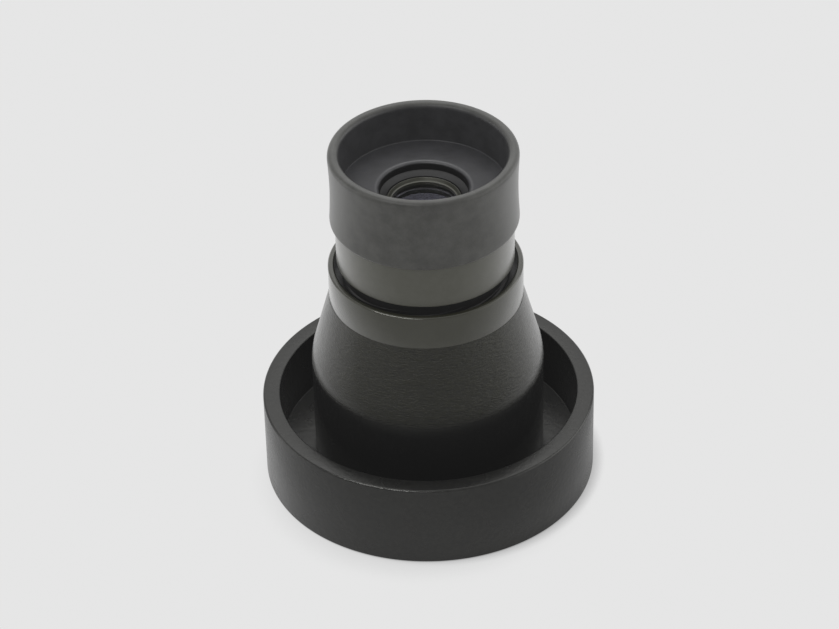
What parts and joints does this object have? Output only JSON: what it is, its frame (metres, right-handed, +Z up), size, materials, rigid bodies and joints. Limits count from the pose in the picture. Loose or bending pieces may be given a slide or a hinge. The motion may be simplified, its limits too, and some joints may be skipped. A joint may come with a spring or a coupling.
{
  "type": "monocular",
  "caption": "Compact prism monocular with a rubber eyecup, a turning focus sleeve and a conical body that stands in a wide guard dish at its objective end.",
  "frame": {"origin": "on the optical axis, on the surface that the base dish stands on", "axes": "+Z up along the optical axis, from the objective to the eyecup; +X to the right of the picture's viewpoint"},
  "size_m": [0.078, 0.078, 0.0878],
  "materials": {
    "dish_paint": "fine-grained matte black paint",
    "wrinkle_paint": "fine black wrinkle paint",
    "collar_satin": "satin dark grey anodised",
    "sleeve_satin": "satin grey anodised",
    "lens_ring_satin": "satin grey anodised",
    "eyecup_rubber": "matte",
    "black_alloy": "matte black anodised",
    "washer_brass": "plain",
    "screw_steel": "plain",
    "coated_glass": "coated",
    "prism_glass": "polished"
  },
  "bodies": {
    "housing": {"base_dish": "dish_paint", "body_shell": "wrinkle_paint", "focus_collar": "collar_satin", "focus_nut": "black_alloy", "objective_cell": "black_alloy", "objective_crown": "coated_glass", "objective_flint": "coated_glass", "objective_ring": "black_alloy", "light_baffle": "black_alloy", "prism_cage": "black_alloy", "first_prism": "prism_glass", "roof_prism": "prism_glass", "prism_clamp": "black_alloy", "cage_screws": "screw_steel", "guide_screws": "screw_steel"},
    "lens_cell": {"eyepiece_cell": "black_alloy", "eye_lens_flint": "coated_glass", "eye_lens_crown": "coated_glass", "lens_spacer": "black_alloy", "field_lens": "coated_glass", "field_stop": "black_alloy", "eye_lens_ring": "lens_ring_satin"},
    "focus_sleeve": {"focus_sleeve": "sleeve_satin", "helicoid_tube": "black_alloy", "thrust_washer": "washer_brass", "eye_cap": "black_alloy", "eyecup": "eyecup_rubber"}
  },
  "joints": [
    {"name": "focus_travel", "type": "slide", "parent": "housing", "child": "lens_cell", "axis": [0, 0, 1], "range_m": [-0.003, 0.005]},
    {"name": "focus_turn", "type": "hinge", "parent": "lens_cell", "child": "focus_sleeve", "pos_m": [0, 0, 0.0685], "axis": [0, 0, 1], "range_deg": [-90, 150]}
  ],
  "couplings": [
    {"joint": "focus_turn", "follows": "focus_travel", "rad_per_m": 523.59}
  ]
}
